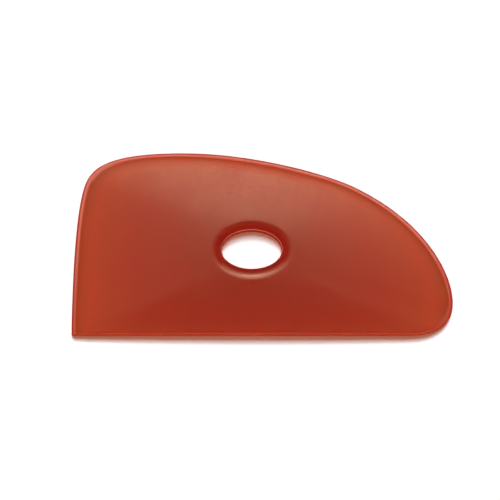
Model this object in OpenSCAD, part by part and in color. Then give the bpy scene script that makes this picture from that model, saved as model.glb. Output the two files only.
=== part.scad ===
/* [Body] */
// Length over the square end and the nose
rib_l = 146; // [125:1:170]
// Width from the straight edge to the top of the curved back
rib_w = 71.8; // [64:0.2:80]
// Thickness of the middle, round the finger hole
mid_t = 6.4; // [5.6:0.1:9]
// Thickness at the two ends and along the curved back
rim_t = 3.2; // [2.6:0.1:4.4]
// Thickness half way along the straight edge
straight_t = 4.6; // [3:0.1:5.4]

/* [Edge] */
// How far the edge wall leans out from the bevel to the back face
draft = 0.45; // [0.1:0.05:0.8]
// The same along the straight edge, which stands steeper
draft_straight = 0.15; // [0.05:0.05:0.8]
// Plan width of the 45 degree bevel at the two ends
bevel_end = 1.25; // [0.6:0.05:2]
// Plan width of the bevel on the curved back
bevel_back = 1; // [0.6:0.05:2]
// Plan width of the bevel on the straight edge
bevel_straight = 0.5; // [0.3:0.05:1.5]
// Size of the small round that blends the bevel into the face
blend = 0.2; // [0.1:0.05:0.6]
// Plan radius of the corner between the square end and the straight edge
corner_r = 0.5; // [0.2:0.1:1.5]
// Width of the almost level land beside the bevel
land = 1; // [0.2:0.1:2]

/* [Finger hole] */
// Length of the oval hole where it meets the back face
hole_l = 22.8; // [18:0.1:28]
// Width of the oval hole where it meets the back face
hole_w = 14.7; // [12:0.1:18]
// How far the wall of the hole leans out on its way up to the lip
hole_draft = 0.3; // [0.05:0.05:0.5]
// Place of the hole along the rib, from the middle of the length
hole_x = -4.1; // [-12:0.1:6]
// Place of the hole across the rib, from the middle of the width
hole_y = -2.7; // [-5:0.1:2]
// Plan width of the rolled lip round the hole
lip_w = 3.9; // [2:0.1:6]
// How far the lip rolls down into the hole
lip_h = 2.9; // [1.5:0.1:4.5]
// How much the outside of the lip lies nearer to the straight edge than the hole does
lip_shift = 0.95; // [0:0.05:1.2]
// Width of the fine step between the lip and the wall of the hole
ledge = 0.15; // [0.1:0.05:0.4]

/* [Hidden] */

half_l = rib_l / 2;
half_w = rib_w / 2;
hole_c = [hole_x, hole_y];

// Height at which the lip meets the wall of the hole
lip_foot = mid_t - lip_h;

// How full the crown is: 1 gives straight flanks, more gives a flatter middle
crown_power = 1.12;
// Distance over which the square end and the straight edge share their miter
miter_reach = 12;
// Depth of casting below the back face, trimmed off to leave one flat face
trim = 1;

// How evenly the straight edge swells: less carries the swell nearer to the ends
swell_power = 0.8;

// Distances of the first crown rings from the bevel, then steps across the rest
// of the crown and round the lip
first_rings = [0, 0.4, 0.9, 1.6];
next_ring = 2.6;
crown_steps = 6;
lip_steps = 9;
// How far through the small round beside the bevel its own rings lie
round_shares = [0, 0.5];

// Turns of the outline, counter-clockwise from the sharp corner. Each one is
// [place, heading in, heading out, lead in, lead out, samples to the next turn],
// and a cubic curve joins each turn to the next.
straight_end = rib_l * 0.382;
straight_lead = (straight_end + half_l) / 3;
turns = [
    [[-half_l, -half_w], 270, 0, 30.9, straight_lead, 42],
    [[straight_end, -half_w], 0, 0, straight_lead, 14.3, 14],
    [[half_l, -0.635 * half_w], 90, 90, 6, 11.7, 22],
    [[0.493 * half_l, 0.62 * half_w], 153.7, 153.7, 30, 12.2, 22],
    [[-0.425 * half_l, half_w], 180, 180, 27.3, 27.9, 18],
    [[-0.929 * half_l, 0.71 * half_w], 240.6, 240.6, 5.6, 7.7, 18],
];

function heading(a) = [cos(a), sin(a)];
function unit(v) = v / norm(v);
function outward(v) = unit([v.y, -v.x]);

// The four control points of the curve that leaves turn k
function controls(k) =
    let (a = turns[k], b = turns[(k + 1) % len(turns)])
    [a[0], a[0] + a[4] * heading(a[2]), b[0] - b[3] * heading(b[1]), b[0]];

function on_curve(c, t) =
    pow(1 - t, 3) * c[0] + 3 * pow(1 - t, 2) * t * c[1] + 3 * (1 - t) * t * t * c[2] + pow(t, 3) * c[3];
function along_curve(c, t) =
    pow(1 - t, 2) * (c[1] - c[0]) + 2 * (1 - t) * t * (c[2] - c[1]) + t * t * (c[3] - c[2]);

// Every outline sample is [point, outward normal]. The corner has three of its own.
corner = turns[0][0];
corner_samples = [
    [corner + [0, corner_r], [-1, 0]],
    [corner + (1 - sqrt(0.5)) * [corner_r, corner_r], [-1, 0]],
    [corner + [corner_r, 0], [0, -1]],
];
curve_samples = [
    for (k = [0 : len(turns) - 1], j = [0 : turns[k][5] - 1])
        let (c = controls(k), t = j / turns[k][5])
        if (k + j > 0) [on_curve(c, t), outward(along_curve(c, t))]
];
samples = concat(corner_samples, curve_samples);
count = len(samples);

// Whether a sample lies on the straight edge or on the square end
function on_front(s) = s[1].y < -0.9;
function on_end(s) = s[1].x < -0.9;

// Plan width of the bevel, by the way the edge faces
function bevel_at(n) =
    bevel_end * n.x * n.x + (n.y > 0 ? bevel_back : bevel_straight) * n.y * n.y;
// Height of the bevel. Beside the corner it runs up from the taller end bevel.
function drop_at(s) =
    let (run_up = on_front(s) ? bevel_end - (s[0].x + half_l) : 0)
    max(bevel_at(s[1]), run_up);
// Thickness of the edge, which swells towards the middle of the straight edge
function edge_t(s) =
    let (swell = pow(max(0, 1 - pow(s[0].x / half_l, 2)), swell_power))
    rim_t + (straight_t - rim_t) * swell * pow(max(0, -s[1].y), 2);
function wall_h(s) = edge_t(s) - drop_at(s);

// How much a sample shares in the inset of the edge round the corner
function share(p) = max(0, 1 - norm(p - corner) / miter_reach);

// How far the wall leans, by the way the edge faces
function lean_at(n) = draft + (draft_straight - draft) * pow(max(0, -n.y), 2);

// A ring inset from the outline by a share of the lean, a share of the bevel and a distance more.
// Close to the corner each edge also slides along itself, so the two insets meet in a miter.
function inset(s, lean, cut, more) =
    let (
        p = s[0],
        n = s[1],
        from_end = lean * draft + cut * bevel_end + more,
        from_front = lean * draft_straight + cut * bevel_straight + more,
        own = lean * lean_at(n) + cut * bevel_at(n) + more,
        slide = on_front(s) ? [from_end, 0] : on_end(s) ? [0, from_front] : [0, 0]
    )
    p - own * n + share(p) * slide;

// The wall carried on below the back face, and the wall's top
skirt_ring = [for (s = samples) concat(inset(s, -trim / wall_h(s), 0, 0), -trim)];
wall_ring = [for (s = samples) concat(inset(s, 1, 0, 0), wall_h(s))];
// A ring of the small round between the bevel and the face, a share of the way through it
function round_ring(share) =
    let (down = blend / 2 * pow(1 - share, 2), more = blend * share * share - down)
    [for (s = samples) concat(inset(s, 1, 1, more), edge_t(s) - down)];

// Points of the hole's upper edge, pushed out by a given distance. The further out
// they are, the more they are also shifted towards the straight edge.
function hole_point(p, out) =
    let (
        d = p - hole_c,
        half = [hole_l / 2 + hole_draft, hole_w / 2 + hole_draft],
        a = atan2(d.y / (half.y + lip_w), d.x / (half.x + lip_w)),
        edge = [half.x * cos(a), half.y * sin(a)],
        n = unit([cos(a) / half.x, sin(a) / half.y]),
        shift = lip_shift * max(0, out) / lip_w
    )
    hole_c - [0, shift] + edge + out * n;
function hole_ring(out, z) = [for (s = samples) concat(hole_point(s[0], out), z)];

// Climb of a flank after a way along it. It starts level and is straight past the land.
function climb(way) = way - land + land * exp(-way / land);
// Share of the crown's rise after a way along a flank of a given length
function crown(way, length) =
    1 - pow(max(0, 1 - climb(way) / climb(length)), crown_power);

// A ring on the crown, a near distance in from the bevel and then a share of the way to the lip
function crown_ring(near, share) = [
    for (s = samples)
        let (
            from = inset(s, 1, 1, blend),
            to = hole_point(s[0], lip_w + ledge),
            length = norm(to - from),
            way = near + share * (length - near),
            low = edge_t(s)
        )
        concat(from + way / length * (to - from), low + (mid_t - low) * crown(way, length))
];

// A ring of the rolled lip, a quarter of an ellipse that turns from the face into the hole
function lip_ring(turn) =
    hole_ring(ledge + lip_w * (1 - sin(turn)), mid_t - lip_h * (1 - cos(turn)));

// Rings from the back face up the wall, over the bevel and the crown, down the
// lip and through the hole to the back face again
rings = concat(
    [skirt_ring, wall_ring],
    [for (share = round_shares) round_ring(share)],
    [for (near = first_rings) crown_ring(near, 0)],
    [for (j = [0 : crown_steps - 1]) crown_ring(next_ring, j / crown_steps)],
    [for (j = [0 : lip_steps]) lip_ring(90 * j / lip_steps)],
    [hole_ring(0, lip_foot - ledge / 2), hole_ring(-hole_draft * (1 + trim / lip_foot), -trim)]
);

// The closed skin through all the rings, which join end to end like a ring doughnut
module skin() {
    last = len(rings);
    polyhedron(
        points = [for (r = rings, p = r) p],
        faces = [
            for (r = [0 : last - 1], i = [0 : count - 1])
                let (
                    up = (r + 1) % last,
                    on = (i + 1) % count,
                    a = r * count + i,
                    b = r * count + on,
                    c = up * count + on,
                    d = up * count + i
                )
                each [[a, c, b], [a, d, c]]
        ],
        convexity = 6
    );
}

// The whole tool: one casting, trimmed flat across the back
module rib() {
    color([0.64, 0.2, 0.14])
        intersection() {
            skin();
            translate([-rib_l, -rib_w, 0])
                cube([2 * rib_l, 2 * rib_w, 2 * mid_t]);
        }
}

rib();
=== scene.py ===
# %% [markdown]
# # A soft pottery rib in Blender
# A pottery rib is a slab of soft red urethane that lets light through. A potter bends it in one
# hand and draws it over wet clay. It is one casting: a flat back, a thin bevelled rim, a face
# that swells to the middle, and an oval finger hole with a rolled lip. This lesson loads the
# measured solid of the rib as a frame, models the same casting again with clean loops of quads,
# gives it the look of satin urethane, and lights it the way it lies in its photograph.

# %% Load the measured frame
from functools import partial
from math import atan2, cos, exp, radians, sin

import bmesh
import bpy
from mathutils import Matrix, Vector


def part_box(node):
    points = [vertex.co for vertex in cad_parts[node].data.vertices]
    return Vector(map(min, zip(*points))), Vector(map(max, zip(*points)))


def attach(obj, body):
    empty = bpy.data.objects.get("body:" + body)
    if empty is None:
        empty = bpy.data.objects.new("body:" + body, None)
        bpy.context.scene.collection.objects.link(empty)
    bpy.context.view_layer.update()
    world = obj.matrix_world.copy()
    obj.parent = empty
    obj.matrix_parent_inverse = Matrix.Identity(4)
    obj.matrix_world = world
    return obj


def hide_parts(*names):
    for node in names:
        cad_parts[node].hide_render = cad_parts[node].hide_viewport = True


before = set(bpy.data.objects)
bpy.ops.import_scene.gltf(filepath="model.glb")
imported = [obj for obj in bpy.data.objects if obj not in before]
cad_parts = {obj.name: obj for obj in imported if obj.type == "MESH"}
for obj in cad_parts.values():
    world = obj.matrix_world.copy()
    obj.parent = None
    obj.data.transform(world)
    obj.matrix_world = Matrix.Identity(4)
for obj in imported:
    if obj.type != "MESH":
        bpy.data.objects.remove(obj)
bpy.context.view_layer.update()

MM = 0.001
low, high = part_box("rib")
print("the measured rib reaches from", tuple(low), "to", tuple(high))

# %% [markdown]
# The frame gives the driving sizes: half the length, half the width and the thickness in the
# middle. The others are sizes of the real casting, in metres, and they agree with the solid.

# %% Sizes of the casting
HALF_L = (high.x - low.x) / 2
HALF_W = (high.y - low.y) / 2
MID_T = high.z
RIM_T = 3.2 * MM
STRAIGHT_T = 4.6 * MM
DRAFT = 0.45 * MM
DRAFT_STRAIGHT = 0.15 * MM
BEVEL_END = 1.25 * MM
BEVEL_BACK = 1.0 * MM
BEVEL_STRAIGHT = 0.5 * MM
CORNER_R = 0.5 * MM
MITER_REACH = 12 * MM
HOLE_L = 22.8 * MM
HOLE_W = 14.7 * MM
HOLE_DRAFT = 0.3 * MM
HOLE_C = Vector((-4.1 * MM, -2.7 * MM))
LIP_W = 3.9 * MM
LIP_H = 2.9 * MM
LIP_SHIFT = 0.95 * MM
LIP_FOOT = MID_T - LIP_H
LEDGE = 0.15 * MM
LAND = 1.0 * MM
# How full the crown is: 1 gives straight flanks, more gives a flatter middle
CROWN_POWER = 1.12
# How evenly the straight edge swells: less carries the swell nearer to the ends
SWELL_POWER = 0.8
# The ring that keeps the top of the wall crisp lies this far below it
CRISP = 0.12 * MM
# An edge that faces the front by more than this is the straight edge
FACES_FRONT = 0.9
print(f"length {2 * HALF_L / MM:.1f} mm, width {2 * HALF_W / MM:.1f} mm, middle {MID_T / MM:.1f} mm")

# %% [markdown]
# ## The outline
# The maker of the mould drew the outline with a few sweeping curves, and a Bezier curve is drawn
# the same way: one control point at each turn, with a handle each side that says how far the
# curve runs on in that direction. The sharp corner is a small round with a control point at
# each end, and its leads are those that make a Bezier curve look like a quarter of a circle.

# %% Draw the outline as a Bezier curve
bpy.ops.object.select_all(action="DESELECT")
STRAIGHT_END = 0.382 * 2 * HALF_L
CORNER = Vector((-HALF_L, -HALF_W))
STRAIGHT_LEAD = (STRAIGHT_END + HALF_L) / 6
CORNER_LEAD = 0.55 * CORNER_R
CORNER_SPAN = 1.2 * CORNER_R
SAME_PLACE = 0.4 * CORNER_R

# Each turn is its place, its heading in degrees, and its leads in and out
TURNS = [
    (CORNER + Vector((0, CORNER_R)), 270, 30.9 * MM, CORNER_LEAD),
    (CORNER + Vector((CORNER_R, 0)), 0, CORNER_LEAD, STRAIGHT_LEAD),
    (Vector(((STRAIGHT_END - HALF_L) / 2, -HALF_W)), 0, STRAIGHT_LEAD, STRAIGHT_LEAD),
    (Vector((STRAIGHT_END, -HALF_W)), 0, STRAIGHT_LEAD, 14.3 * MM),
    (Vector((HALF_L, -0.635 * HALF_W)), 90, 6 * MM, 11.7 * MM),
    (Vector((0.493 * HALF_L, 0.62 * HALF_W)), 153.7, 30 * MM, 12.2 * MM),
    (Vector((-0.425 * HALF_L, HALF_W)), 180, 27.3 * MM, 27.9 * MM),
    (Vector((-0.929 * HALF_L, 0.71 * HALF_W)), 240.6, 5.6 * MM, 7.7 * MM),
]
STEPS_PER_TURN = 24

bpy.ops.curve.primitive_bezier_circle_add(radius=HALF_L)
casting = bpy.context.object
casting.name = "rib_casting"
casting.data.resolution_u = STEPS_PER_TURN
spline = casting.data.splines[0]
spline.bezier_points.add(len(TURNS) - len(spline.bezier_points))
for point, (place, heading, lead_in, lead_out) in zip(spline.bezier_points, TURNS):
    along = Vector((cos(radians(heading)), sin(radians(heading))))
    point.handle_left_type = point.handle_right_type = "FREE"
    point.co = place.to_3d()
    point.handle_left = (place - along * lead_in).to_3d()
    point.handle_right = (place + along * lead_out).to_3d()
bpy.ops.object.convert(target="MESH")
bpy.ops.object.mode_set(mode="EDIT")
bpy.ops.mesh.select_mode(type="VERT")
bpy.ops.mesh.select_all(action="SELECT")
bpy.ops.mesh.remove_doubles(threshold=SAME_PLACE)
bpy.ops.object.mode_set(mode="OBJECT")
print("the outline has", len(casting.data.vertices), "points")

# %% [markdown]
# ## Stations and rings
# The whole skin of a casting like this is one loop, carried along a path: up the edge, over the
# face, down through the hole and back along the flat back. So the outline loop is extruded
# again and again, and each new ring is moved to its own place. Every point of the outline gets a
# station number, which extruding hands on to the copies, so a point always knows its way. The
# points also get room for the thickness of the casting under them, and for five finishes.

# %% Number the stations
outline = sorted(
    (v.co.xy.copy() for v in casting.data.vertices),
    key=lambda p: atan2(p.y - HOLE_C.y, p.x - HOLE_C.x),
)
count = len(outline)


def outward(i):
    """The way the edge faces at a station."""
    ahead = outline[(i + 1) % count] - outline[i - 1]
    return Vector((ahead.y, -ahead.x)).normalized()


facing = [outward(i) for i in range(count)]
station = casting.data.attributes.new("station", "INT", "POINT")
for v in casting.data.vertices:
    nearest = min(range(count), key=lambda i: (outline[i] - v.co.xy).length)
    station.data[v.index].value = nearest
casting.data.attributes.new("ring", "INT", "POINT")
FINISHES = ("painted_glow", "frost_and_highlight", "skin", "steep_shade", "painted_glint")
for name in ("thickness", *FINISHES):
    casting.data.attributes.new(name, "FLOAT", "POINT")
print(count, "stations round the rib")

# %% [markdown]
# ## Where each ring lies
# The edge leans in by the draft, so that the casting lifts out of its mould. Above it is a bevel
# that is wide at the ends and on the curved back, and narrow on the straight edge. The rim is
# thin all round and swells a little towards the middle of the straight edge.


# %% The rim
def on_front(i):
    """Whether a station lies on the straight edge."""
    return facing[i].y < -FACES_FRONT


def bevel_at(n):
    """Width of the bevel where the edge faces along n."""
    return BEVEL_END * n.x**2 + (BEVEL_BACK if n.y > 0 else BEVEL_STRAIGHT) * n.y**2


def rim_at(i):
    """Thickness of the rim at a station."""
    swell = max(0.0, 1 - (outline[i].x / HALF_L) ** 2) ** SWELL_POWER
    return RIM_T + (STRAIGHT_T - RIM_T) * swell * max(0.0, -facing[i].y) ** 2


def wall_at(i):
    """Height of the wall under the bevel."""
    beside = outline[i].x + HALF_L if on_front(i) else BEVEL_END
    return rim_at(i) - max(bevel_at(facing[i]), BEVEL_END - beside)


def lean_at(n):
    """How far the wall leans in where the edge faces along n."""
    return DRAFT + (DRAFT_STRAIGHT - DRAFT) * max(0.0, -n.y) ** 2


def inset(i, cut):
    """A station moved in from the outline by the lean of the wall and by a share of the bevel.
    Close to the corner an edge also slides along itself, so that the two insets meet in a miter.
    The few stations of the corner itself all move the same way."""
    p, n = outline[i], facing[i]
    corner_shift = Vector((DRAFT + cut * BEVEL_END, DRAFT_STRAIGHT + cut * BEVEL_STRAIGHT))
    away = (p - CORNER).length
    if away < CORNER_SPAN:
        return p + corner_shift
    slide = Vector((corner_shift.x, 0)) if on_front(i) else Vector((0, corner_shift.y))
    share = max(0.0, 1 - away / MITER_REACH)
    return p - n * (lean_at(n) + cut * bevel_at(n)) + share * slide


print(f"the bevel is {bevel_at(Vector((0, 1))) / MM:.1f} mm on the back")

# %% [markdown]
# Beside the bevel the face starts almost level, on a land a millimetre wide, and then it climbs
# to the lip along nearly straight lines, like the skin of a tent with the hole at its top. The
# lip is a quarter of an ellipse that rolls over into the hole. At its foot a fine step leads to
# the wall of the hole, which leans out a little towards the top.
#
# The functions on_crown, on_lip, at_foot, on_wall, on_bevel and in_hole place the points. Each
# gives a point and the thickness of the casting there.


# %% The hole, the lip and the crown
def hole_at(i, out):
    """The hole's edge at a station, pushed out by a distance."""
    d = outline[i] - HOLE_C
    half_x, half_y = HOLE_L / 2 + HOLE_DRAFT, HOLE_W / 2 + HOLE_DRAFT
    a = atan2(d.y / (half_y + LIP_W), d.x / (half_x + LIP_W))
    n = Vector((cos(a) / half_x, sin(a) / half_y)).normalized()
    moved = HOLE_C - Vector((0, LIP_SHIFT * max(0.0, out) / LIP_W))
    return moved + Vector((half_x * cos(a), half_y * sin(a))) + out * n


def crown(way, length):
    """Share of the rise from the rim to the lip, after a way along a flank of a given length."""
    risen = [w - LAND + LAND * exp(-w / LAND) for w in (way, length)]
    return 1 - max(0.0, 1 - risen[0] / risen[1]) ** CROWN_POWER


def on_crown(i, near, share):
    """A point of the face, a near distance from the rim and then a share of the way to the lip."""
    start, end = inset(i, 1), hole_at(i, LIP_W + LEDGE)
    length = (end - start).length
    way = near + share * (length - near)
    height = rim_at(i) + (MID_T - rim_at(i)) * crown(way, length)
    return start.lerp(end, way / length).to_3d() + Vector((0, 0, height)), height


def on_lip(i, turn):
    """A point of the rolled lip, where turn runs from 0 on the face to 90 degrees in the hole."""
    across, down = 1 - sin(radians(turn)), 1 - cos(radians(turn))
    p = hole_at(i, LEDGE + LIP_W * across)
    return Vector((p.x, p.y, MID_T - LIP_H * down)), MID_T


def at_foot(i):
    """A point of the outline, at the foot of the wall."""
    return outline[i].to_3d(), wall_at(i)


def on_wall(i, below=0):
    """A point of the wall, a distance below its top."""
    top = inset(i, 0).to_3d() + Vector((0, 0, wall_at(i)))
    return outline[i].to_3d().lerp(top, 1 - below / wall_at(i)), wall_at(i)


def on_bevel(i, share):
    """A point a share of the way up the bevel."""
    return on_wall(i)[0].lerp(on_crown(i, 0, 0)[0], share), wall_at(i)


def in_hole(i, z):
    """A point of the wall of the hole, at a height."""
    p = hole_at(i, -HOLE_DRAFT * (1 - z / LIP_FOOT))
    return Vector((p.x, p.y, z)), MID_T


print(f"half way up a 30 mm flank the face has {100 * crown(15 * MM, 30 * MM):.0f}% of its rise")

# %% [markdown]
# ## Finishes, and painted light and shade
# The urethane doesn't look the same all over, so each ring also notes five finishes:
#
# - painted_glow is a painted glow: a weak emission that stands in for light that the casting
#   carries inside and lets out of an edge.
# - frost_and_highlight is the paler band along the bevel: partly a frosted finish, partly a
#   painted highlight.
# - skin is how rough the surface is.
# - steep_shade is painted shade: a deeper red where the surface drops away, partly the dye seen
#   deep at a slant.
# - painted_glint is a painted glint: a pale emission on the fine step in the hole.
#
# The finishes vary round the rib with the way that the edge faces, so the painted light and shade
# follow where the lamps stand. Here the near side is the straight edge, the far side is the curved
# back, and the ends are the square end and the nose.

# %% How the finishes and the painted light and shade vary
SATIN, POLISHED, DULL = 0.39, 0.3, 1.0
# Levels of the painted glow, a weak emission: on the wall, where the wall has painted shade, on the
# step, in the hole, and on the lip at the ends, the near side and the far side
WALL_PAINTED_GLOW = 0.42
DARK_PAINTED_GLOW = 0.7
STEP_PAINTED_GLOW = 0.7
HOLE_PAINTED_GLOW = 0.27
LIP_ENDS, LIP_NEAR, LIP_FAR = 0.57, 0.372, 0.72

# Painted glow from the bevel: a level, more of it towards the near side, which faces away from the
# lamps, and more at the ends
BEVEL_PAINTED_GLOW = 0.42
GLOW_LEVEL, GLOW_NEAR, GLOW_ENDS = 0.35, 0.65, 0.35

# The lip's painted shade grows between two turns in degrees, sooner on the far side, which faces
# away from the lamps, and at the ends
STEEP_FROM, STEEP_TO = 21, 41
SOONER_FAR, SOONER_ENDS = 6, 9

# The paler band, partly a painted highlight, is full on the back, fades towards the near side, away
# from the lamps, and comes back on the straight edge
FROST_HIGHLIGHT_LEVEL, FROST_HIGHLIGHT_FADE, FROST_HIGHLIGHT_NEAR = 0.95, 0.02 / MM, 0.8

# How far the paler band and its painted highlight reach over the rim: everywhere, more on the
# back, and more at two turns, from the square end to the back and from the nose to the straight
# edge. It fades at its end.
REACH, REACH_FAR, REACH_TURN, REACH_FADE = 0.4 * MM, 0.5 * MM, 3 * MM, 0.4 * MM


def nearness(i):
    """1 where the edge faces the near side, and 0 at the ends and on the far side."""
    return max(0.0, -facing[i].y)


def farness(i):
    """1 where the edge faces the far side, and 0 at the ends and on the near side."""
    return max(0.0, facing[i].y)


def far_share(i):
    """1 on the far side, a half at the ends, and 0 on the near side."""
    return 0.5 + 0.5 * facing[i].y


def turned_in(i):
    """How far the paler band and the painted shade move in from the wall: fully on the back and at
    the nose.
    """
    return max(0.0, facing[i].x, facing[i].y) ** 2


def wall_painted_shade(i):
    """Painted shade on the wall, dark all round, but not on the straight edge, where a painted glow
    stands for the light coming out.
    """
    return 1 - nearness(i)


def wall_painted_glow(i):
    """Painted glow from the wall, brighter where the wall has painted shade, to keep it red."""
    return WALL_PAINTED_GLOW * nearness(i) + DARK_PAINTED_GLOW * wall_painted_shade(i)


def bevel_painted_glow(i, dark, glow):
    """Painted glow from a band of the bevel that has painted shade and glows by two shares."""
    edge_glow = max(0.0, GLOW_LEVEL - GLOW_NEAR * facing[i].y) + GLOW_ENDS * facing[i].x ** 2
    return glow * BEVEL_PAINTED_GLOW * edge_glow + dark * turned_in(i) * DARK_PAINTED_GLOW


def bevel_painted_shade(i, dark):
    """Painted shade: the outer bands of the bevel are dark on the back and at the nose."""
    return dark * turned_in(i)


def frosted_highlight(i):
    """How strongly the paler band, partly a painted highlight, shows at a station."""
    falls = min(1.0, max(0.0, FROST_HIGHLIGHT_LEVEL + FROST_HIGHLIGHT_FADE * outline[i].y))
    return falls + (FROST_HIGHLIGHT_NEAR - falls) * nearness(i) ** 2


def bevel_frost_and_highlight(i, on_left, on_right):
    """The paler band and painted highlight of a bevel band, from its share on the left, at the
    square end, to that on the right.
    """
    return frosted_highlight(i) * (on_left + (on_right - on_left) * turned_in(i))


def rim_frost_and_highlight(i, way):
    """What is left of the paler band and its painted highlight on the face, a way in from the bevel.
    """
    turn = max(0.0, -facing[i].x * facing[i].y) ** 2
    reach = REACH + REACH_FAR * farness(i) + REACH_TURN * turn
    return frosted_highlight(i) * min(1.0, max(0.0, (reach - way) / REACH_FADE)) * (1 - nearness(i) ** 2)


def lip_steep_shade(i, turn):
    """How steep the lip looks after a turn in degrees, which sets its painted shade."""
    start = STEEP_FROM - SOONER_FAR * facing[i].y - SOONER_ENDS * facing[i].x ** 2
    return min(1.0, max(0.0, (turn - start) / (STEEP_TO - STEEP_FROM)))


def lip_painted_glow(i, turn):
    """Painted glow on the lip: most on the far side, which faces away from the lamps, and least on
    the near side.
    """
    near_change = (LIP_NEAR - LIP_ENDS) * nearness(i) ** 2
    far_change = (LIP_FAR - LIP_ENDS) * farness(i) ** 2
    return (LIP_ENDS + near_change + far_change) * lip_steep_shade(i, turn)


def lip_skin(i, turn):
    """Fingers polish the near side of the lip, and where it is steep it is dull."""
    polished = SATIN + (POLISHED - SATIN) * nearness(i)
    return polished + (DULL - polished) * lip_steep_shade(i, turn)


def step_painted_glow(i):
    """Painted glow on the fine step in the hole."""
    return STEP_PAINTED_GLOW * far_share(i)


def hole_painted_glow(i):
    """Painted glow on the wall of the hole."""
    return HOLE_PAINTED_GLOW * far_share(i)


print(f"the lip grows steep {STEEP_TO - STEEP_FROM} degrees after it starts to")

# %% [markdown]
# ## Extruding the skin
# Each ring is one extrude and one move. The rings crowd together where the surface turns or its
# finish changes: over the bevel, near the rim, and round the lip. A ring is its name, the
# function that places its points, and its five finishes, each a number or a function.

# %% List the rings
# Bands of the bevel: share of the way up, paler band with painted highlight on the left and on the
# right, painted shade, and painted glow
BEVEL_BANDS = (
    (0.35, 0, 0, 1, 1),
    (0.6, 1, 0, 0.9, 1),
    (0.8, 1, 0.85, 0, 1),
    (0.93, 1, 0.9, 0, 0),
)
# Rings of the face: a distance in from the bevel, then a share of the way on to the lip
FACE_STEPS = 9
FACE_WAYS = [(way * MM, 0) for way in (0, 0.12, 0.4, 0.9, 1.6)]
FACE_WAYS += [(2.6 * MM, step / FACE_STEPS) for step in range(FACE_STEPS)]
# Roughness of the first rings of the face. The rest are satin.
RIM_SKIN = (0.9, 0.9, 0.88, 0.75, 0.6, 0.47)
LIP_STEPS = 12
rings = []


def add_ring(name, place, painted_glow=0, frost_and_highlight=0, skin=SATIN, steep_shade=0, painted_glint=0):
    """Adds a ring to the list. Finishes that aren't given are those of plain satin."""
    rings.append((name, place, (painted_glow, frost_and_highlight, skin, steep_shade, painted_glint)))


add_ring("foot", at_foot, painted_glow=wall_painted_glow, skin=DULL, steep_shade=wall_painted_shade)
add_ring("wall", partial(on_wall, below=CRISP), painted_glow=wall_painted_glow, skin=DULL, steep_shade=wall_painted_shade)
add_ring("wall top", on_wall, painted_glow=wall_painted_glow, skin=DULL, steep_shade=wall_painted_shade)
for share, on_left, on_right, dark, glow in BEVEL_BANDS:
    add_ring(
        f"bevel {share}",
        partial(on_bevel, share=share),
        painted_glow=partial(bevel_painted_glow, dark=dark, glow=glow),
        frost_and_highlight=partial(bevel_frost_and_highlight, on_left=on_left, on_right=on_right),
        steep_shade=partial(bevel_painted_shade, dark=dark),
    )
for j, (way, share) in enumerate(FACE_WAYS):
    add_ring(
        f"face {j}",
        partial(on_crown, near=way, share=share),
        frost_and_highlight=partial(rim_frost_and_highlight, way=way),
        skin=RIM_SKIN[j] if j < len(RIM_SKIN) else SATIN,
    )
for j in range(LIP_STEPS + 1):
    turn = 90 * j / LIP_STEPS
    add_ring(
        f"lip {j}",
        partial(on_lip, turn=turn),
        painted_glow=partial(lip_painted_glow, turn=turn),
        skin=partial(lip_skin, turn=turn),
        steep_shade=partial(lip_steep_shade, turn=turn),
    )
on_step = partial(in_hole, z=LIP_FOOT - LEDGE / 2)
# The fine step gets a painted glint, a pale emission, on its far side
add_ring("step", on_step, painted_glow=step_painted_glow, frost_and_highlight=far_share, skin=DULL, painted_glint=far_share)
add_ring("hole top", partial(in_hole, z=LIP_FOOT - LEDGE), painted_glow=hole_painted_glow, skin=DULL)
add_ring("hole foot", partial(in_hole, z=0), painted_glow=hole_painted_glow, skin=DULL)
ring_number = {name: k for k, (name, _, _) in enumerate(rings)}
print(len(rings), "rings")


# %% Extrude ring after ring
def move_selected(number, place, finish):
    """Moves each selected point to its place on a ring, and notes the ring and its finishes."""
    mesh = bmesh.from_edit_mesh(casting.data)
    stations, marks = (mesh.verts.layers.int[name] for name in ("station", "ring"))
    depths = mesh.verts.layers.float["thickness"]
    layers = [mesh.verts.layers.float[name] for name in FINISHES]
    for v in mesh.verts:
        if v.select:
            i = v[stations]
            v.co, v[depths] = place(i)
            v[marks] = number
            for layer, value in zip(layers, finish):
                v[layer] = value(i) if callable(value) else value
    bmesh.update_edit_mesh(casting.data)


bpy.ops.object.mode_set(mode="EDIT")
bpy.ops.mesh.select_all(action="SELECT")
for number, (name, place, finish) in enumerate(rings):
    if number > 0:
        bpy.ops.mesh.extrude_edges_move()
    move_selected(number, place, finish)
print(len(bmesh.from_edit_mesh(casting.data).verts), "points")

# %% [markdown]
# The last ring and the first are still open, and the flat back lies between them. Bridge Edge
# Loops fills it with quads that run from the hole to the outline.


# %% Bridge the flat back
def select_rings(*names):
    """Selects all the points of the named rings, and nothing else."""
    bpy.ops.mesh.select_mode(type="VERT")
    bpy.ops.mesh.select_all(action="DESELECT")
    mesh = bmesh.from_edit_mesh(casting.data)
    marks = mesh.verts.layers.int["ring"]
    wanted = {ring_number[name] for name in names}
    for v in mesh.verts:
        v.select = v[marks] in wanted
    mesh.select_flush_mode()
    bmesh.update_edit_mesh(casting.data)
    bpy.ops.mesh.select_mode(type="EDGE")


BACK_CUTS = 6
select_rings("foot", "hole foot")
bpy.ops.mesh.bridge_edge_loops(number_cuts=BACK_CUTS, interpolation="LINEAR")
bpy.ops.mesh.select_all(action="SELECT")
bpy.ops.mesh.normals_make_consistent(inside=False)
print("closed, with", len(bmesh.from_edit_mesh(casting.data).faces), "faces")

# %% [markdown]
# A casting has no knife-sharp edges. A fine bevel breaks those at the foot of the wall and at the
# foot of the hole. Subdivision then smooths the whole skin, and the edges over the wall and over
# the bevel stay crisp, because rings lie close beside them.

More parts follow.
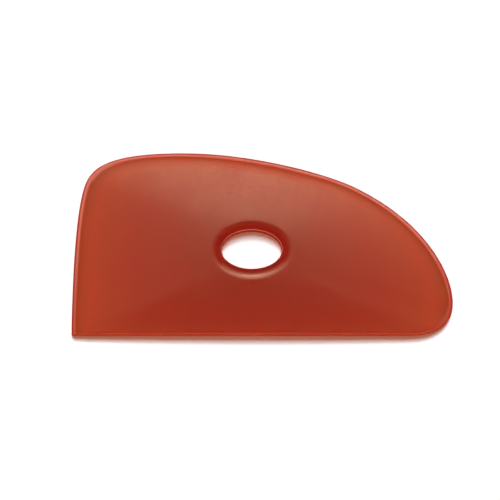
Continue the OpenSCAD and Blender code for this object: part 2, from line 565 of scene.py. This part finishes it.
# %% Break the edges
EDGE_ROUNDS = {"foot": 0.12 * MM, "hole foot": 0.15 * MM}
for name, size in EDGE_ROUNDS.items():
    select_rings(name)
    bpy.ops.mesh.bevel(offset=size, segments=3, profile=0.5, affect="EDGES", clamp_overlap=True)
bpy.ops.object.mode_set(mode="OBJECT")

bpy.ops.object.modifier_add(type="SUBSURF")
soften = casting.modifiers[-1]
soften.levels = soften.render_levels = 1
bpy.ops.object.modifier_apply(modifier=soften.name)
bpy.ops.object.shade_smooth()
print("the casting has", len(casting.data.polygons), "faces")

# %% [markdown]
# The bridge spread the finishes of the edge and of the hole, with their painted glow, shade and
# highlight, over the flat back. The back is plain satin, so they are taken off it again.

# %% Finish the flat back
BACK_LIES_BELOW = 0.01 * MM
back = [v.index for v in casting.data.vertices if v.co.z < BACK_LIES_BELOW]
for name in FINISHES:
    finish = casting.data.attributes[name].data
    for k in back:
        finish[k].value = SATIN if name == "skin" else 0
print(len(back), "points on the flat back")

# %% [markdown]
# ## Shader maths
# Materials here are written as sums. A Value holds one socket of a node tree, and each operator
# on it adds the Math node that does the same, so a pattern reads like a formula.


# %% A small class for shader maths
class Value:
    """A number in a node tree."""

    def __init__(self, tree, socket):
        self.tree, self.socket = tree, socket

    def maths(self, operation, first, second):
        return add_node(self.tree, "ShaderNodeMath", {"operation": operation}, {0: first, 1: second})

    def __add__(self, other):
        return self.maths("ADD", self, other)

    def __sub__(self, other):
        return self.maths("SUBTRACT", self, other)

    def __mul__(self, other):
        return self.maths("MULTIPLY", self, other)

    def __truediv__(self, other):
        return self.maths("DIVIDE", self, other)


def add_node(tree, kind, settings=None, inputs=None, output=0):
    """Adds a node, sets it up, fills its inputs with numbers or links, and returns one output."""
    node = tree.nodes.new(kind)
    for key, value in (settings or {}).items():
        setattr(node, key, value)
    for key, value in (inputs or {}).items():
        if isinstance(value, Value):
            tree.links.new(value.socket, node.inputs[key])
        else:
            node.inputs[key].default_value = value
    return Value(tree, node.outputs[output])


def add_ramp(tree, factor, stops):
    """Adds a colour ramp with the given stops, and returns its colour."""
    node = tree.nodes.new("ShaderNodeValToRGB")
    for _ in stops[2:]:
        node.color_ramp.elements.new(0.5)
    for element, (place, colour) in zip(node.color_ramp.elements, stops):
        element.position, element.color = place, colour
    tree.links.new(factor.socket, node.inputs["Fac"])
    return Value(tree, node.outputs["Color"])


def mix_colours(tree, factor, first, second):
    """Adds a mix of two colours, and returns its colour."""
    inputs = {0: factor, 6: first, 7: second}
    return add_node(tree, "ShaderNodeMix", {"data_type": "RGBA"}, inputs, output=2)


def read_mark(tree, name):
    """Adds a node that reads what the rings noted on the mesh under a name."""
    return add_node(tree, "ShaderNodeAttribute", {"attribute_name": name}, output="Fac")


def new_material(name):
    """A material with its node tree, and the tree's Principled shader."""
    material = bpy.data.materials.new(name)
    material.use_nodes = True
    return material, material.node_tree, material.node_tree.nodes["Principled BSDF"]


print("shader maths ready")

# %% [markdown]
# ## Cast urethane
# The urethane is dyed red and lets light in. A colour ramp gives the dye its colour from the
# thinnest to the thickest urethane: the rim is a browner red, the brightest orange lies just
# inside it, and the thick middle is a deep red. Steep places get a painted shade, a deeper red
# still, and the frosted band is paler, which also paints in a highlight. The mould left a satin
# skin: a very fine grain that spreads highlights out, with slightly smoother and rougher patches.
#
# Scattering alone doesn't carry enough light to the edges, so a painted glow and a painted glint
# are added as a weak emission. Lamp rays pass through with a tint, which makes the shadow red as
# well.

# %% The urethane
urethane, tree, shader = new_material("cast_urethane")
casting.data.materials.append(urethane)

# The dye's colour from the thinnest urethane to the thickest
DYE = (
    (0.15, (0.4, 0.043, 0.0075, 1)),
    (0.23, (0.5, 0.04, 0.0075, 1)),
    (0.34, (0.45, 0.037, 0.0075, 1)),
    (0.55, (0.42, 0.0255, 0.008, 1)),
    (1.0, (0.355, 0.024, 0.0085, 1)),
)
THINNEST = 2.6 * MM
THICKEST = 6.4 * MM
# The paler band, partly a painted highlight
FROSTED_HIGHLIGHT = (0.6, 0.165, 0.115, 1)
# Painted shade where the surface is steep
PAINTED_SHADE_RED = (0.09, 0.004, 0.002, 1)
# Painted glow, a weak emission, and its deeper red where there is painted shade
PAINTED_GLOW_RED = (0.36, 0.034, 0.014, 1)
DEEP_PAINTED_GLOW_RED = (0.35, 0.011, 0.004, 1)
# Painted glint on the fine step in the hole
PAINTED_GLINT_COLOUR = (0.6, 0.25, 0.17, 1)
NO_LIGHT = (0, 0, 0, 1)
PASSES_RED = (0.50, 0.24, 0.11, 1)
# How much the slow clouds, the fine grain and the mottle between them change the look
DYE_CLOUDS, DYE_GRAIN = 0.08, 0.3
SKIN_CLOUDS, SKIN_GRAIN, SKIN_MOTTLE = 0.10, 0.10, 0.2

here = add_node(tree, "ShaderNodeTexCoord", output="Object")
cloud = add_node(tree, "ShaderNodeTexNoise", {}, {"Vector": here, "Scale": 90.0, "Detail": 3.0})
grain = add_node(tree, "ShaderNodeTexNoise", {}, {"Vector": here, "Scale": 2600.0, "Detail": 2.0})
mottle = add_node(tree, "ShaderNodeTexNoise", {}, {"Vector": here, "Scale": 1400.0, "Detail": 1.0})
depth = read_mark(tree, "thickness")
painted_glow, frost_and_highlight, skin, steep_shade, painted_glint = (read_mark(tree, name) for name in FINISHES)

thick_share = (depth - THINNEST) / (THICKEST - THINNEST) + (cloud - 0.5) * DYE_CLOUDS
speckle = (grain - 0.5) * DYE_GRAIN + 1
dye = add_ramp(tree, thick_share, DYE)
speckled = {"Color": dye, "Value": speckle}
dye = add_node(tree, "ShaderNodeHueSaturation", {}, speckled, output="Color")
# The dye, with painted shade where steep, then the paler band with its painted highlight
base = mix_colours(tree, frost_and_highlight, mix_colours(tree, steep_shade, dye, PAINTED_SHADE_RED), FROSTED_HIGHLIGHT)
tree.links.new(base.socket, shader.inputs["Base Color"])

# Painted glow and painted glint, given as emission
painted_glow_colour = mix_colours(tree, steep_shade, PAINTED_GLOW_RED, DEEP_PAINTED_GLOW_RED)
painted_light = mix_colours(tree, painted_glint, mix_colours(tree, painted_glow, NO_LIGHT, painted_glow_colour), PAINTED_GLINT_COLOUR)
tree.links.new(painted_light.socket, shader.inputs["Emission Color"])
shader.inputs["Emission Strength"].default_value = 1.0

patches = (cloud - 0.5) * SKIN_CLOUDS
satin = skin + patches + (grain - 0.5) * SKIN_GRAIN + (mottle - 0.5) * SKIN_MOTTLE
tree.links.new(satin.socket, shader.inputs["Roughness"])
grained = add_node(
    tree,
    "ShaderNodeBump",
    {},
    {"Height": grain, "Strength": 0.25, "Distance": 0.02 * MM},
    output="Normal",
)
tree.links.new(grained.socket, shader.inputs["Normal"])
shader.inputs["IOR"].default_value = 1.5
shader.inputs["Specular IOR Level"].default_value = 0.19
shader.inputs["Specular Tint"].default_value = (1, 1, 0.68, 1)
shader.inputs["Subsurface Weight"].default_value = 1.0
shader.inputs["Subsurface Radius"].default_value = (1.0, 0.25, 0.12)
shader.inputs["Subsurface Scale"].default_value = 4 * MM

lamp_ray = add_node(tree, "ShaderNodeLightPath", output="Is Shadow Ray")
tint = add_node(tree, "ShaderNodeBsdfTransparent", {}, {"Color": PASSES_RED})
through = add_node(
    tree,
    "ShaderNodeMixShader",
    {},
    {0: lamp_ray, 1: Value(tree, shader.outputs[0]), 2: tint},
)
tree.links.new(through.socket, tree.nodes["Material Output"].inputs["Surface"])
print("urethane nodes:", len(tree.nodes))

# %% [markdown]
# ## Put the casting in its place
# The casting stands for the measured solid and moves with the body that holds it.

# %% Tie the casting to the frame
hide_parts("rib")
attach(casting, "root")
print("casting box:", [round(v / MM, 2) for v in casting.dimensions])

# %% [markdown]
# ## The table
# The rib lies on a seamless white sheet. To the camera the sheet is a shade brighter than white,
# so that it is pure white beside the rib and still keeps the shadow.

# %% The white sheet
SEEN_BY = ("Is Camera Ray", "Is Glossy Ray", "Is Transmission Ray")
SHEET_WHITE = (0.95, 0.95, 0.95, 1)
SEEN_WHITE = (1.06, 1.06, 1.06, 1)
SHEET_SIZE = 12
SHEET_BELOW = 0.02 * MM
bpy.ops.object.select_all(action="DESELECT")
bpy.ops.mesh.primitive_plane_add(size=SHEET_SIZE, location=(0, 0, -SHEET_BELOW))
sheet = bpy.context.object
sheet.name = "white_sheet"
sheet_finish, sheet_tree, sheet_shader = new_material("white_sheet")
sheet_tree.nodes.remove(sheet_shader)
path = {kind: add_node(sheet_tree, "ShaderNodeLightPath", output=kind) for kind in SEEN_BY}
seen = path["Is Camera Ray"] + path["Is Glossy Ray"] + path["Is Transmission Ray"]
white = mix_colours(sheet_tree, seen, SHEET_WHITE, SEEN_WHITE)
matt = add_node(sheet_tree, "ShaderNodeBsdfDiffuse", {}, {"Color": white})
sheet_tree.links.new(matt.socket, sheet_tree.nodes["Material Output"].inputs["Surface"])
sheet.data.materials.append(sheet_finish)
print("sheet in place")

# %% [markdown]
# ## Light
# One broad softbox hangs straight behind the rib and high up, and its lower part is the
# brightest. It gives the soft shadow in front, the wide sheen on the far half of the face, and
# the highlight on the near lip. It is far away for so small a thing, so two Sun lamps with wide
# angles, one in the other, do the same and light the whole sheet evenly. The rest of the room is
# dark, and only fills the shadows a little.

# %% The softbox and the room
ROOM_LEVEL = 0.1
# Each lamp's name, its height and its spread in degrees, and its level
LAMPS = (("softbox_core", 50.3, 9, 1.2), ("softbox", 60.5, 25, 2.1))
for name, height, spread, level in LAMPS:
    lamp_way = Vector((0, cos(radians(height)), sin(radians(height))))
    bpy.ops.object.light_add(type="SUN", location=lamp_way)
    lamp = bpy.context.object
    lamp.name = name
    lamp.rotation_euler = lamp_way.to_track_quat("Z", "Y").to_euler()
    lamp.data.angle = radians(spread)
    lamp.data.energy = level
    print(name, "at", [round(v, 2) for v in lamp.location])

room = bpy.data.worlds.new("room")
bpy.context.scene.world = room
room.use_nodes = True
room.node_tree.nodes["Background"].inputs["Color"].default_value = (1, 1, 1, 1)
room.node_tree.nodes["Background"].inputs["Strength"].default_value = ROOM_LEVEL
print("room level", ROOM_LEVEL)

# %% [markdown]
# ## The camera
# The photograph is taken from almost straight above with a long lens, tipped a little towards
# the straight edge, so that a thin line of the near wall and of the far side of the hole shows.

# %% The camera
CAMERA_HEIGHT = 79
CAMERA_AWAY = 0.7
SENSOR_WIDTH = 36
# How many pixels wide the picture is, and how much of the table one of them shows
PICTURE_WIDTH = 500
PIXEL = 0.3854 * MM
VIEW_WIDTH = PICTURE_WIDTH * PIXEL
AIM = Vector((-4.76 * MM, -2.37 * MM, 0))
camera_way = Vector((0, -cos(radians(CAMERA_HEIGHT)), sin(radians(CAMERA_HEIGHT))))
bpy.ops.object.camera_add(location=AIM + camera_way * CAMERA_AWAY)
camera = bpy.context.object
camera.rotation_euler = camera_way.to_track_quat("Z", "Y").to_euler()
camera.data.sensor_width = SENSOR_WIDTH
camera.data.lens = SENSOR_WIDTH * CAMERA_AWAY / VIEW_WIDTH
camera.data.clip_start = 0.01
bpy.context.scene.camera = camera
bpy.context.scene.view_settings.view_transform = "Standard"
print(f"lens {camera.data.lens:.0f} mm")
